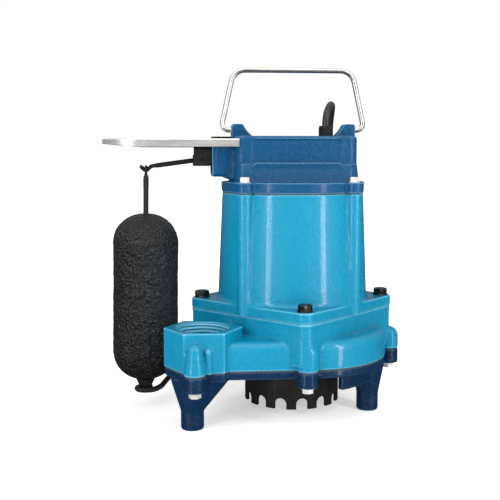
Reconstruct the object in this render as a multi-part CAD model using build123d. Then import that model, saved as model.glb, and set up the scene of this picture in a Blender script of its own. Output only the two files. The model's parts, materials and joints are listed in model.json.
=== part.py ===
from build123d import *
import os
from math import atan2, cos, degrees, pi, radians, sin, tan

# A submersible sump pump that stands on three feet: an oil-filled motor in a cast barrel,
# a scroll casing with an upright threaded outlet, a cast base with a comb strainer, and a
# float that hangs from a switch lever beside the barrel.
# Millimetres, +Z up. The shapes are drawn about the motor's upright axis, with X to the
# right and Y to the back, and moved at the end so that the origin is the centre of the
# footprint, on the floor.

# ---- footprint, measured from the motor's axis ----
GUARD_REACH = 183.0
RIGHT_REACH = 107.5
FRONT_REACH = 106.5
BACK_REACH = 97.5
AXIS_X = (GUARD_REACH - RIGHT_REACH) / 2
AXIS_Y = (FRONT_REACH - BACK_REACH) / 2

# ---- heights above the floor ----
PLATE_LOW = 47.0
BASE_TOP = 54.2
SCROLL_LOW = 55.0
SCROLL_TOP = 81.0
HEX_TOP = 91.0
FLANGE_LOW = 98.7
FLANGE_TOP = 108.7
BARREL_TOP = 211.0
CAP_LOW = 212.0
CAP_FLANGE_TOP = 221.5
CAP_LEDGE = 238.5
CAP_TOP = 264.6
RECESS_TOP = CAP_TOP - 2.8
EAR_TOP = 276.6
BAIL_PIVOT_Z = 270.8
BAIL_TOP_Z = 327.7

# ---- castings ----
WALL = 6.0
FLANGE_R = 75.0
LUG_AT = 88.8
LUG_R = 10.0
COLUMN_LUG_R = 9.2
BARREL_LOW_R = 73.4
BARREL_TOP_R = 68.5
BARREL_BORE_R = 62.0
COLUMN_AT = 50.7
COLUMN_R = 7.0
SCROLL_RADII = (80.0, 90.0, 78.0)
BULGE_ROUND = 8.0
BULGE_STEPS = 5
OUTLET_X = -89.6
OUTLET_Y = -62.0
HEX_FLATS = 62.5
OUTLET_BORE_R = 23.1
OUTLET_MOUTH_R = 24.8
CHAMBER_TOP = 75.0
SPIGOT_R = 66.2
SPIGOT_LOW = 88.7
BRACKET_R = 62.5
BRACKET_LOW = 84.0
BASE_BOSSES = ((-98.0, -96.5), (3.0, -88.5), (98.0, 0.0), (26.0, 86.0), (-70.0, 55.0))
BASE_BOSS_R = 10.0
RIGHT_BOSS_R = 9.5
BASE_BOSS_LOW = 40.0
BOSS_WEB = 15.0
SKIRT_MID_R = 77.0
SKIRT_START = -62.0
SKIRT_TURN = 58.0
FEET = ((-100.0, -73.0), (71.3, -26.0), (-10.0, 80.0))
FOOT_R = 10.5
FOOT_POST = 17.0
EYE_R = 20.0

# ---- fasteners and seals of the castings ----
FLANGE_BOLT_R = 3.9
FLANGE_BOLT_DEPTH = 18.0
FLANGE_HEAD_FLATS = 12.7
FLANGE_HEAD_HEIGHT = 6.5
CAP_SCREW_R = 2.4
CAP_SCREW_DEPTH = 12.0
BASE_SCREW_R = 3.2
BASE_SCREW_DEPTH = 12.0
SEAL_MID_R = 69.6
STRAINER_R = 46.5
STRAINER_WALL = 3.0
STRAINER_LOW = 6.5
FINGER_COUNT = 14
FINGER_WIDTH = 9.6
FINGER_PHASE = -97.6
STRAINER_SCREW_AT = 37.0
STRAINER_SCREW_R = 2.0
STRAINER_SCREW_ANGLES = (30, 150, 270)

# ---- cap ----
CAP_FLANGE_R = 69.2
CAP_LUG_R = 8.5
CAP_HALF_X = 57.5
CAP_HALF_Y = 34.0
CAP_SKIRT_X = 59.0
CAP_SKIRT_Y = 42.0
CAP_CORNER = 8.0
EAR_OUT = 60.0
EAR_IN_TOP = 48.9
EAR_IN_MID = (45.2, 270.4)
EAR_IN_LOW = 38.5
RECESS_WIDTH = 85.0
RECESS_DEPTH = 1.3
EAR_HALF_Y = 7.5
EAR_ROOT = 12.0
EAR_EDGE = 2.5
BOSS_LEFT = -79.0
BOSS_HALF_Y = 20.0
BOSS_LOW = 226.4
BOSS_TOP = 260.5
BOSS_CAVITY_LOW = 229.0
BOSS_CAVITY_TOP = 257.0
GLAND_X = 32.4
NUT_NECK_R = 5.6
NUT_FLATS = 12.4
NUT_LIP = 2.0
ROOF = 6.0
GROMMET_WALL = 0.9
CAPACITOR_R = 14.0
CAPACITOR_X = -8.0
CAPACITOR_Y = 8.0
CAPACITOR_Z = 238.0

# ---- switch, lever and float ----
BLOCK_LEFT = -96.0
BLOCK_LOW = 236.4
BLOCK_TOP = 257.0
BLOCK_HALF_Y = 14.0
PIVOT_X = -88.0
PIVOT_Z = 242.5
LEVER_R = 1.9
SLEEVE_R = 2.3
SADDLE_X = -141.9
SADDLE_Z = 232.6
PLUNGER_X = -72.0
PLUNGER_STEM_R = 1.4
LEVER_SLOT_HALF_Y = 2.5
LEVER_SLOT_LOW = 238.6
LEVER_SLOT_TOP = 245.0
LEVER_HUB_R = 3.4
PIN_R = 1.5
BOOT = 1.0
ROD_R = 2.6
FLOAT_R = 31.8
FLOAT_LOW = 28.5
FLOAT_TOP = 190.7
FLOAT_ROUND = 28.0
FLOAT_WALL = 2.2
FLOAT_LEAN = 0.9
GUIDE_X = -146.0
GUIDE_Z = 18.0
GUIDE_RADIUS = 7.4
GUIDE_R = 2.65
GUIDE_TAB = 2.4

# ---- float guard ----
GUARD_HALF_Y = 36.0
GUARD_TOP = 262.0
GUARD_SHEET = 1.5
GUARD_EDGE = 1.4
LIP_LOW = 254.5
LIP_TIP_LOW = 257.3
GUARD_END = -57.9
LIP_END = -54.4
GUARD_SCREW_X = -70.0
GUARD_SCREW_Y = 9.0
GUARD_SCREW_R = 1.9
CLAMP_THICK = 2.2

# ---- bail ----
BAIL_R = 2.5
BAIL_FOOT_X = 70.0
BAIL_CORNER_X = 57.3
BAIL_INNER_X = 51.5
BAIL_CLEARANCE = 0.07

# ---- motor ----
STATOR_LOW = 132.0
STATOR_TOP = 182.0
STATOR_R = 61.9
STATOR_BORE_R = 31.0
ROTOR_R = 30.3
ROTOR_SHAFT_R = 8.0
JOURNAL_R = 6.0
SEAL_SHAFT_R = 8.5
IMPELLER_SHAFT_R = 5.0
BUSH_R = 10.0
BUSH_LOW = 193.0
BEARING_LOW = 94.0
BEARING_TOP = 106.0
BEARING_R = 20.0
BALL_COUNT = 8
BALL_R = 3.4
GROOVE_R = 3.6
BALL_AT = 14.25
IMPELLER_R = 50.0
VANE_COUNT = 6
VANE_LOW = 58.6
UPPER_BRACKET_LOW = 203.0
UPPER_BRACKET_TOP = 208.0
SLOT_COUNT = 24
SEAL_SEAT_R = 14.0
SEAL_HEAD_LOW = 78.5
HUB_TOP = 71.0

# ---- cord ----
CORD_R = 3.75
NUT_TOP = 275.0
COIL_X = 25.0
COIL_Y = 166.0
COIL_MEAN_R = 41.0
COIL_SIDE = 6 * CORD_R
COIL_LIFT = 1.0
CORD_POINTS = (
    (GLAND_X, 0.0, NUT_TOP),
    (GLAND_X, 0.0, 285.0),
    (38.6, 11.0, 296.4),
    (43.2, 28.5, 296.0),
    (43.8, 41.0, 284.0),
    (44.0, 49.5, 265.0),
    (45.2, 61.0, 240.5),
    (47.0, 72.5, 212.0),
    (50.0, 80.0, 182.0),
    (53.0, 85.0, 152.0),
    (56.0, 89.0, 122.0),
    (59.5, 94.0, 93.0),
    (63.5, 101.0, 64.0),
    (68.0, 111.0, 37.0),
    (72.5, 125.0, 15.0),
    (74.6, 143.0, 4.9),
    (73.8, 162.0, 4.75),
)
TAIL_POINTS = (
    (-4.0, 149.3, 19.75),
    (7.2, 135.3, 25.0),
    (25.0, 127.5, 28.4),
    (46.2, 129.2, 28.4),
    (65.3, 142.8, 28.4),
    (74.5, 161.5, 28.4),
    (75.0, 180.5, 28.6),
    (66.5, 197.0, 29.8),
    (51.0, 206.4, 32.1),
    (33.0, 206.4, 32.1),
)
PLUG_LENGTH = 30.0
PLUG_TAPER = 16.0
PLUG_WIDTH = 24.0
PLUG_THICK = 17.0

ON_BASE = (Align.CENTER, Align.CENTER, Align.MIN)


# ---- building blocks ----
def rod(radius, low, high, x=0.0, y=0.0):
    """A round bar about an upright axis."""
    return Pos(x, y, low) * Cylinder(radius, high - low, align=ON_BASE)


def ring(outer, inner, low, high, x=0.0, y=0.0):
    """A plain bush about an upright axis."""
    return rod(outer, low, high, x, y) - rod(inner, low, high, x, y)


def cone(low_r, top_r, low, high, x=0.0, y=0.0):
    """A cone frustum about an upright axis."""
    return Pos(x, y, low) * Cone(low_r, top_r, high - low, align=ON_BASE)


def block(x0, x1, y0, y1, z0, z1):
    """A box between opposite corners."""
    middle = ((x0 + x1) / 2, (y0 + y1) / 2, (z0 + z1) / 2)
    return Pos(*middle) * Box(x1 - x0, y1 - y0, z1 - z0)


def rounded_box(half_x, half_y, corner, low, high, x=0.0, y=0.0):
    """An upright box with rounded upright corners."""
    plan = Pos(x, y, low) * RectangleRounded(2 * half_x, 2 * half_y, corner)
    return extrude(plan, high - low)


def joined(pieces):
    """Fuse a list of overlapping shapes."""
    body = pieces[0]
    for piece in pieces[1:]:
        body = body + piece
    return body


def group(pieces):
    """Keep separate solids together as one node."""
    return Compound([piece.solid() for piece in pieces])


def hex_head(flats, low, high, x, y):
    """A hexagon head with its corners eased."""
    head = extrude(Pos(x, y, low) * RegularPolygon(flats / 2, 6, major_radius=False), high - low)
    return head & cone(flats / 2 + 3.0, flats / 2 + 0.3, low, high, x, y)


def polar(radius, angle):
    """The point at a radius and an angle in degrees."""
    return radius * cos(radians(angle)), radius * sin(radians(angle))


def lugs():
    """The centres of the four flange lugs."""
    return [polar(LUG_AT, quarter) for quarter in (0, 90, 180, 270)]


def columns():
    """The centres of the four cap screw columns."""
    return [(sx * COLUMN_AT, sy * COLUMN_AT) for sx in (-1, 1) for sy in (-1, 1)]


def wire(points, radius, bends):
    """Round bar along straight runs joined by bends."""
    path = FilletPolyline(*points, radius=bends)
    start = Plane(origin=path @ 0, z_dir=path % 0)
    return sweep(start * Circle(radius), path=path)


def easy_radii(points):
    """The largest arc at each corner that leaves a tenth of the shorter run straight."""
    radii = []
    for before, here, after in zip(points, points[1:], points[2:]):
        run_in = Vector(*here) - Vector(*before)
        run_out = Vector(*after) - Vector(*here)
        half_turn = radians(run_in.get_angle(run_out)) / 2
        radii.append(0.45 * min(run_in.length, run_out.length) / tan(half_turn))
    return radii


# ---- casing ----
def flange_plan(lug_radius):
    """The flange outline: a disc drawn out to its four lugs by straight sides."""
    rings = [Pos(x, y) * Circle(lug_radius) for x, y in lugs()]
    edges = [edge for disc in [Circle(FLANGE_R)] + rings for edge in disc.edges()]
    return make_hull(edges)


def scroll_plan(inset):
    """The scroll outline: quarter arcs of growing radius, then a straight run to the outlet."""
    first, second, third = (radius - inset for radius in SCROLL_RADII)
    centre_y = first - second
    centre_x = second - third
    left = (-first, 0)
    back = (0, first)
    right = (second, centre_y)
    front = (centre_x, centre_y - third)
    outlet_front = (OUTLET_X, centre_y - third)
    half = sin(radians(45))
    outline = [
        ThreePointArc(left, (-first * half, first * half), back),
        ThreePointArc(back, (second * half, centre_y + second * half), right),
        ThreePointArc(right, (centre_x + third * half, centre_y - third * half), front),
        Polyline(front, outlet_front, (OUTLET_X, OUTLET_Y), left),
    ]
    return make_face(outline)


def scroll_bulge():
    """The scroll's outer body, rounded in at the top by short tapering steps."""
    straight_top = SCROLL_TOP - BULGE_ROUND
    body = extrude(Pos(0, 0, SCROLL_LOW) * scroll_plan(0.0), straight_top - SCROLL_LOW)
    steps = [index * 90 / BULGE_STEPS for index in range(BULGE_STEPS + 1)]
    for low, high in zip(steps, steps[1:]):
        sections = []
        for angle in (low, high):
            inset = BULGE_ROUND * (1 - cos(radians(angle)))
            sections.append(Pos(0, 0, straight_top + BULGE_ROUND * sin(radians(angle))) * scroll_plan(inset))
        body += loft(sections, ruled=True)
    return body


def outlet_hex(low, high, inset):
    """The hexagon round the outlet, with a flat to the front."""
    plan = RegularPolygon(HEX_FLATS / 2 - inset, 6, major_radius=False)
    return extrude(Pos(OUTLET_X, OUTLET_Y, low) * plan, high - low)


def motor_housing():
    """Barrel of the motor with its bolting flange and four screw columns."""
    flange = extrude(Pos(0, 0, FLANGE_LOW) * flange_plan(LUG_R), FLANGE_TOP - FLANGE_LOW)
    barrel = cone(BARREL_LOW_R, BARREL_TOP_R, FLANGE_LOW, BARREL_TOP)
    posts = [rod(COLUMN_R, FLANGE_LOW, BARREL_TOP, x, y) for x, y in columns()]
    foot_fillet = cone(FLANGE_R - 0.2, BARREL_LOW_R - 0.5, FLANGE_TOP, FLANGE_TOP + 3.0)
    body = joined([flange, barrel, foot_fillet] + posts)
    body -= rod(BARREL_BORE_R, FLANGE_LOW, BARREL_TOP)
    for x, y in lugs():
        body -= rod(FLANGE_BOLT_R + 0.2, FLANGE_LOW, FLANGE_TOP, x, y)
    for x, y in columns():
        body -= rod(CAP_SCREW_R + 0.05, BARREL_TOP - CAP_SCREW_DEPTH, BARREL_TOP, x, y)
    return body


def boss_webs(low, high):
    """Ribs that join the outer screw bosses to the round body."""
    webs = []
    for x, y in BASE_BOSSES[1:]:
        reach = (x**2 + y**2) ** 0.5
        web = block(60.0, reach, -BOSS_WEB / 2, BOSS_WEB / 2, low, high)
        webs.append(Rot(0, 0, degrees(atan2(y, x))) * web)
    return webs


def domed_boss(radius, low, top, x, y):
    """A round boss with a domed top."""
    return rod(radius, low, top - radius, x, y) + Pos(x, y, top - radius) * Sphere(radius)


def volute_casing():
    """Scroll casing with the upright outlet, open below for the base and above for the motor."""
    bulge = scroll_bulge()
    wall = extrude(Pos(0, 0, SCROLL_LOW + 5.0) * flange_plan(COLUMN_LUG_R), FLANGE_LOW - SCROLL_LOW - 5.0)
    lip = extrude(Pos(0, 0, FLANGE_LOW - 2.5) * flange_plan(LUG_R), 2.5)
    left_boss, front_boss, right_boss, back_boss, rear_boss = BASE_BOSSES
    bosses = [
        cone(BASE_BOSS_R, 6.6, SCROLL_LOW, 76.5, *left_boss),
        Pos(left_boss[0], left_boss[1], 76.5) * Sphere(6.6),
        domed_boss(3.4, SCROLL_LOW, 78.0, left_boss[0] + 12.0, OUTLET_Y - HEX_FLATS / 2),
        domed_boss(BASE_BOSS_R, SCROLL_LOW, 81.0, *front_boss),
        domed_boss(RIGHT_BOSS_R, SCROLL_LOW, 76.5, *right_boss),
        domed_boss(BASE_BOSS_R, SCROLL_LOW, 78.0, *back_boss),
        domed_boss(BASE_BOSS_R, SCROLL_LOW, 76.5, *rear_boss),
    ]
    webs = boss_webs(SCROLL_LOW, SCROLL_LOW + 10.0)
    body = joined([bulge, wall, lip, outlet_hex(SCROLL_LOW, HEX_TOP, 0.0)] + bosses + webs)
    body -= extrude(Pos(0, 0, SCROLL_LOW) * scroll_plan(WALL), CHAMBER_TOP - SCROLL_LOW)
    body -= rod(BRACKET_R + 0.3, CHAMBER_TOP, FLANGE_LOW)
    body -= rod(SPIGOT_R, SPIGOT_LOW, FLANGE_LOW)
    body -= ring(SEAL_MID_R + 1.4, SEAL_MID_R - 1.4, FLANGE_LOW - 2.3, FLANGE_LOW)
    body -= rod(OUTLET_BORE_R, 59.0, HEX_TOP, OUTLET_X, OUTLET_Y)
    mouth = cone(OUTLET_BORE_R, OUTLET_MOUTH_R, HEX_TOP - 2.4, HEX_TOP, OUTLET_X, OUTLET_Y)
    body -= mouth
    for x, y in lugs():
        body -= rod(FLANGE_BOLT_R + 0.05, FLANGE_LOW - FLANGE_BOLT_DEPTH, FLANGE_LOW, x, y)
    for x, y in BASE_BOSSES:
        body -= rod(BASE_SCREW_R + 0.05, SCROLL_LOW, SCROLL_LOW + BASE_SCREW_DEPTH, x, y)
    return body


def foot(x, y, reach_x, reach_y, shift_x):
    """A foot whose top spreads out under the plate."""
    low = Pos(x, y, FOOT_POST) * Circle(FOOT_R)
    high = Pos(x + shift_x, y, PLATE_LOW + 1.0) * Ellipse(reach_x, reach_y)
    post = rod(FOOT_R, 0.0, FOOT_POST, x, y)
    post = chamfer(post.edges().group_by(Axis.Z)[0], 1.0)
    return post + loft([low, high])


def base_plate():
    """Cast base: plate, three feet, screw bosses, an arched skirt and the suction eye."""
    plate = extrude(Pos(0, 0, PLATE_LOW) * scroll_plan(0.8), BASE_TOP - PLATE_LOW)
    under_outlet = outlet_hex(PLATE_LOW, BASE_TOP, 0.8)
    bosses = [rod(BASE_BOSS_R - 0.5, BASE_BOSS_LOW, BASE_TOP, x, y) for x, y in BASE_BOSSES]
    left, right, rear = FEET
    feet = [foot(*left, 28.0, 19.0, 8.0), foot(*right, 16.5, 14.0, 0.0), foot(*rear, 16.0, 14.0, 0.0)]
    skirt_section = Plane.XZ * Pos(SKIRT_MID_R, PLATE_LOW - 7.5) * Rectangle(6.0, 17.0)
    skirt = Rot(0, 0, SKIRT_START) * revolve(skirt_section, Axis.Z, SKIRT_TURN)
    body = joined([plate, under_outlet, skirt] + bosses + feet + boss_webs(PLATE_LOW, BASE_TOP))
    body += rod(EYE_R + 5.0, BASE_TOP, BASE_TOP + 2.4)
    body -= rod(EYE_R, PLATE_LOW - 1.0, BASE_TOP + 3.0)
    for x, y in BASE_BOSSES:
        body -= rod(BASE_SCREW_R + 0.2, BASE_BOSS_LOW, BASE_TOP, x, y)
    for angle in STRAINER_SCREW_ANGLES:
        body -= rod(STRAINER_SCREW_R + 0.05, PLATE_LOW, PLATE_LOW + 5.0, *polar(STRAINER_SCREW_AT, angle))
    return body


def base_gasket():
    """Flat gasket between the scroll and the base."""
    outer = extrude(Pos(0, 0, BASE_TOP) * scroll_plan(1.0), SCROLL_LOW - BASE_TOP)
    sheet = outer + outlet_hex(BASE_TOP, SCROLL_LOW, 1.0)
    for x, y in BASE_BOSSES:
        sheet += rod(BASE_BOSS_R - 1.0, BASE_TOP, SCROLL_LOW, x, y)
    sheet -= extrude(Pos(0, 0, BASE_TOP) * scroll_plan(WALL), SCROLL_LOW - BASE_TOP)
    for x, y in BASE_BOSSES:
        sheet -= rod(BASE_SCREW_R + 0.3, BASE_TOP, SCROLL_LOW, x, y)
    return sheet.solids().sort_by(SortBy.VOLUME)[-1]


def suction_strainer():
    """Comb ring round the suction eye."""
    body = ring(STRAINER_R, STRAINER_R - STRAINER_WALL, STRAINER_LOW, PLATE_LOW)
    body += ring(STRAINER_R, 30.0, PLATE_LOW - 2.5, PLATE_LOW)
    step = 360 / FINGER_COUNT
    gap_width = radians(step) * STRAINER_R - FINGER_WIDTH
    for index in range(FINGER_COUNT):
        slot_low = block(38.0, 50.0, -gap_width / 2, gap_width / 2, 0.0, STRAINER_LOW + 5.0)
        arch = Pos(44.0, 0, STRAINER_LOW + 5.0) * Rot(0, 90, 0) * Cylinder(gap_width / 2, 12.0)
        body -= Rot(0, 0, (index + 0.5) * step + FINGER_PHASE) * (slot_low + arch)
    for angle in STRAINER_SCREW_ANGLES:
        body -= rod(STRAINER_SCREW_R + 0.1, PLATE_LOW - 3.0, PLATE_LOW, *polar(STRAINER_SCREW_AT, angle))
    return body


def strainer_screws():
    """Three pan-head screws that hold the strainer up to the base."""
    screws = []
    for angle in STRAINER_SCREW_ANGLES:
        x, y = polar(STRAINER_SCREW_AT, angle)
        head_low = PLATE_LOW - 4.5
        shank = rod(STRAINER_SCREW_R, head_low, PLATE_LOW + 4.5, x, y)
        screws.append(shank + rod(3.6, head_low, PLATE_LOW - 2.5, x, y))
    return group(screws)


def flange_bolts():
    """Four hexagon flange bolts down through the lugs."""
    bolts = []
    for x, y in lugs():
        shank = rod(FLANGE_BOLT_R, FLANGE_LOW - FLANGE_BOLT_DEPTH + 1.0, FLANGE_TOP, x, y)
        washer = rod(6.8, FLANGE_TOP, FLANGE_TOP + 1.1, x, y)
        head = hex_head(FLANGE_HEAD_FLATS, FLANGE_TOP + 1.1, FLANGE_TOP + FLANGE_HEAD_HEIGHT, x, y)
        bolts.append(joined([shank, washer, head]))
    return group(bolts)


def cap_screws():
    """Four hexagon washer-head screws that hold the cap."""
    screws = []
    for x, y in columns():
        shank = rod(CAP_SCREW_R, BARREL_TOP - CAP_SCREW_DEPTH + 1.0, CAP_FLANGE_TOP, x, y)
        washer = rod(5.0, CAP_FLANGE_TOP, CAP_FLANGE_TOP + 1.0, x, y)
        head = hex_head(7.9, CAP_FLANGE_TOP + 1.0, CAP_FLANGE_TOP + 5.0, x, y)
        screws.append(joined([shank, washer, head]))
    return group(screws)


def base_screws():
    """Hexagon washer-head screws up through the base bosses into the scroll."""
    screws = []
    for x, y in BASE_BOSSES:
        face = BASE_BOSS_LOW
        if (x, y) == BASE_BOSSES[-1]:
            face -= GUIDE_TAB
        shank = rod(BASE_SCREW_R, face, SCROLL_LOW + BASE_SCREW_DEPTH - 1.0, x, y)
        washer = rod(6.5, face - 1.2, face, x, y)
        head = hex_head(9.5, face - 5.2, face - 1.2, x, y)
        screws.append(joined([shank, washer, head]))
    return group(screws)


def flange_seal():
    """O-ring in the groove of the scroll's top face."""
    return Pos(0, 0, FLANGE_LOW - 1.15) * Torus(SEAL_MID_R, 1.15)


# ---- cap and what it holds ----
def top_cap():
    """Cast cap: round flange, flared skirt, recessed box, bail ears and switch boss."""
    flange = rod(CAP_FLANGE_R, CAP_LOW, CAP_FLANGE_TOP)
    lug_discs = [rod(CAP_LUG_R, CAP_LOW, CAP_FLANGE_TOP, x, y) for x, y in columns()]
    low_plan = Pos(0, 0, CAP_FLANGE_TOP - 1.0) * RectangleRounded(2 * CAP_SKIRT_X, 2 * CAP_SKIRT_Y, 12.0)
    high_plan = Pos(0, 0, CAP_LEDGE) * RectangleRounded(2 * CAP_HALF_X, 2 * CAP_HALF_Y + 4.0, 9.0)
    skirt = loft([low_plan, high_plan])
    box = rounded_box(CAP_HALF_X, CAP_HALF_Y, CAP_CORNER, CAP_LEDGE - 1.0, CAP_TOP)
    box = fillet(box.edges().group_by(Axis.Z)[-1], 2.5)
    for side in (-1, 1):
        middle_z = (RECESS_TOP + CAP_LEDGE) / 2
        face = Plane(origin=(0, side * CAP_HALF_Y, middle_z), x_dir=(1, 0, 0), z_dir=(0, side, 0))
        recess = RectangleRounded(RECESS_WIDTH, RECESS_TOP - CAP_LEDGE, 4.0)
        box -= extrude(face * recess, -RECESS_DEPTH)
        pad = Plane(origin=(0, side * CAP_HALF_Y, CAP_LEDGE - 5.0), x_dir=(1, 0, 0), z_dir=(0, side, 0))
        skirt += extrude(pad * RectangleRounded(RECESS_WIDTH, 12.0, 4.0), 3.6)
    body = joined([flange, skirt, box, cap_ears(), switch_boss()] + lug_discs)
    body -= rod(BARREL_BORE_R, CAP_LOW, CAP_LOW + 6.0)
    body -= rounded_box(51.5, 33.0, 6.0, CAP_LOW, CAP_LEDGE)
    body -= rounded_box(CAP_HALF_X - 5.0, CAP_HALF_Y - 6.0, 5.0, CAP_LOW, CAP_TOP - 5.0)
    opening = block(BOSS_LEFT, -CAP_HALF_X + 6.0, -15.0, 15.0, BOSS_CAVITY_LOW, BOSS_CAVITY_TOP)
    body -= opening
    body -= Pos(0, 0, BAIL_PIVOT_Z) * Rot(0, 90, 0) * Cylinder(BAIL_R + BAIL_CLEARANCE, 2 * EAR_OUT + 10.0)
    body -= rod(NUT_NECK_R, CAP_TOP - ROOF, CAP_TOP, GLAND_X)
    for x, y in columns():
        body -= rod(CAP_SCREW_R + 0.1, CAP_LOW, CAP_FLANGE_TOP, x, y)
    for side in (-1, 1):
        body -= rod(GUARD_SCREW_R + 0.05, BOSS_CAVITY_TOP, BOSS_TOP, GUARD_SCREW_X, side * GUARD_SCREW_Y)
    return body


def cap_ears():
    """Two ears that carry the bail, each with a hollow sloping inner side."""
    ears = []
    for side in (-1, 1):
        top_inner = (side * EAR_IN_TOP, EAR_TOP)
        low_inner = (side * EAR_IN_LOW, CAP_TOP - 0.5)
        root_inner = (side * EAR_IN_LOW, CAP_TOP - EAR_ROOT)
        root_outer = (side * EAR_OUT, CAP_TOP - EAR_ROOT)
        top_outer = (side * EAR_OUT, EAR_TOP)
        outline = [
            Polyline(low_inner, root_inner, root_outer, top_outer, top_inner),
            ThreePointArc(top_inner, (side * EAR_IN_MID[0], EAR_IN_MID[1]), low_inner),
        ]
        profile = Plane.XZ * make_face(outline)
        ears.append(extrude(profile, EAR_HALF_Y, both=True))
    pair = ears[0] + ears[1]
    return fillet(pair.edges().filter_by(Axis.Y).group_by(Axis.Z)[-1], EAR_EDGE)


def switch_boss():
    """Square boss on the left end that takes the float switch."""
    middle_z = (BOSS_LOW + BOSS_TOP) / 2
    plane = Plane(origin=(BOSS_LEFT, 0, middle_z), x_dir=(0, 1, 0), z_dir=(1, 0, 0))
    body = extrude(plane * RectangleRounded(2 * BOSS_HALF_Y, BOSS_TOP - BOSS_LOW, 4.0), 30.0)
    rim_plan = RectangleRounded(2 * BOSS_HALF_Y + 1.6, BOSS_TOP - BOSS_LOW, 4.8)
    body += extrude(plane * rim_plan, 3.5)
    height = BOSS_TOP - BOSS_LOW
    near = RectangleRounded(2 * BOSS_HALF_Y - 4.0, height - 6.0, 4.0)
    far = RectangleRounded(2 * BOSS_HALF_Y + 2.0, height, 4.0)
    return body + loft([plane.offset(6.0) * Pos(0, -2.0) * near, plane.offset(22.0) * Pos(0, -5.0) * far])


def cap_gasket():
    """Flat gasket between barrel and cap."""
    sheet = rod(BARREL_TOP_R - 0.5, BARREL_TOP, CAP_LOW)
    for x, y in columns():
        sheet += rod(COLUMN_R - 0.5, BARREL_TOP, CAP_LOW, x, y)
    sheet -= rod(BARREL_BORE_R, BARREL_TOP, CAP_LOW)
    for x, y in columns():
        sheet -= rod(CAP_SCREW_R + 0.1, BARREL_TOP, CAP_LOW, x, y)
    return sheet


def cord_gland_nut():
    """Hexagon gland nut with a threaded neck through the cap's roof."""
    nut = hex_head(NUT_FLATS, CAP_TOP, NUT_TOP, GLAND_X, 0.0)
    neck = rod(NUT_NECK_R, CAP_TOP - ROOF, CAP_TOP, GLAND_X)
    bore = rod(CORD_R + GROMMET_WALL, CAP_TOP - ROOF, NUT_TOP - NUT_LIP, GLAND_X)
    mouth = rod(CORD_R, NUT_TOP - NUT_LIP, NUT_TOP, GLAND_X)
    return nut + neck - bore - mouth


def cord_grommet():
    """Rubber sleeve that the gland nut squeezes onto the cord."""
    sleeve = rod(CORD_R + GROMMET_WALL, CAP_TOP - ROOF, NUT_TOP - NUT_LIP, GLAND_X)
    return sleeve + rod(CORD_R, NUT_TOP - NUT_LIP, NUT_TOP, GLAND_X)


def capacitor():
    """Start capacitor lying in the cap, with two tab terminals."""
    can = Pos(CAPACITOR_X, CAPACITOR_Y, CAPACITOR_Z) * Rot(0, 90, 0) * Cylinder(CAPACITOR_R, 58.0)
    can = fillet(can.edges(), 2.0)
    for side in (-1, 1):
        y = CAPACITOR_Y + side * 6.0
        can += Pos(CAPACITOR_X + 32.0, y, CAPACITOR_Z) * Box(8.0, 6.0, 1.0)
    return can


def capacitor_clip():
    """Sheet strap that hangs the capacitor from the cap's roof."""
    turn = Pos(CAPACITOR_X, CAPACITOR_Y, CAPACITOR_Z) * Rot(0, 90, 0)
    strap = turn * (Cylinder(CAPACITOR_R + 1.0, 12.0) - Cylinder(CAPACITOR_R, 12.0))
    tab = block(
        CAPACITOR_X - 6.0, CAPACITOR_X + 6.0, CAPACITOR_Y - 1.0, CAPACITOR_Y + 1.0,
        CAPACITOR_Z + CAPACITOR_R + 0.5, CAP_TOP - 5.0,
    )
    return strap + tab


def overload_protector():
    """Thermal cut-out that sits on the upper bearing bracket."""
    return rounded_box(11.0, 7.0, 3.0, UPPER_BRACKET_TOP, UPPER_BRACKET_TOP + 7.0, -24.0, 24.0)


def ground_screw():
    """Green earth screw in the upper bearing bracket."""
    shank = rod(2.0, UPPER_BRACKET_TOP - 4.0, UPPER_BRACKET_TOP, 30.0, -28.0)
    return shank + hex_head(7.0, UPPER_BRACKET_TOP, UPPER_BRACKET_TOP + 3.5, 30.0, -28.0)


# ---- motor ----
def stator_core():
    """Laminated stator with open slots round its bore."""
    body = ring(STATOR_R, STATOR_BORE_R, STATOR_LOW, STATOR_TOP)
    for index in range(SLOT_COUNT):
        slot = block(STATOR_BORE_R - 1.0, 47.0, -1.8, 1.8, STATOR_LOW, STATOR_TOP)
        body -= Rot(0, 0, index * 360 / SLOT_COUNT) * slot
    return body


def winding(low, high):
    """One end turn of the winding."""
    body = ring(56.0, 34.0, low, high)
    return fillet(body.edges(), 4.0)


def upper_bearing_bracket():
    """Spider across the top of the barrel that holds the sleeve bearing."""
    body = rod(BARREL_BORE_R - 0.1, UPPER_BRACKET_LOW, UPPER_BRACKET_TOP)
    body += rod(BUSH_R + 5.0, BUSH_LOW, UPPER_BRACKET_TOP)
    body -= rod(BUSH_R, BUSH_LOW, UPPER_BRACKET_TOP)
    for angle in (45, 165, 285):
        body -= rod(9.0, UPPER_BRACKET_LOW, UPPER_BRACKET_TOP, *polar(38.0, angle))
    return body - rod(2.0, UPPER_BRACKET_TOP - 4.0, UPPER_BRACKET_TOP, 30.0, -28.0)


def bearing_bracket():
    """Lower bearing carrier, which also closes the top of the pump chamber."""
    body = rod(SPIGOT_R - 0.1, SPIGOT_LOW, FLANGE_LOW)
    body += rod(BRACKET_R, BRACKET_LOW, SPIGOT_LOW)
    body += rod(27.0, FLANGE_LOW, BEARING_TOP + 4.0)
    body -= rod(BEARING_R, BEARING_LOW, BEARING_TOP + 4.0)
    body -= rod(SEAL_SHAFT_R + 0.7, BRACKET_LOW, BEARING_LOW)
    return body - rod(SEAL_SEAT_R, BRACKET_LOW, BRACKET_LOW + 6.0)


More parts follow.
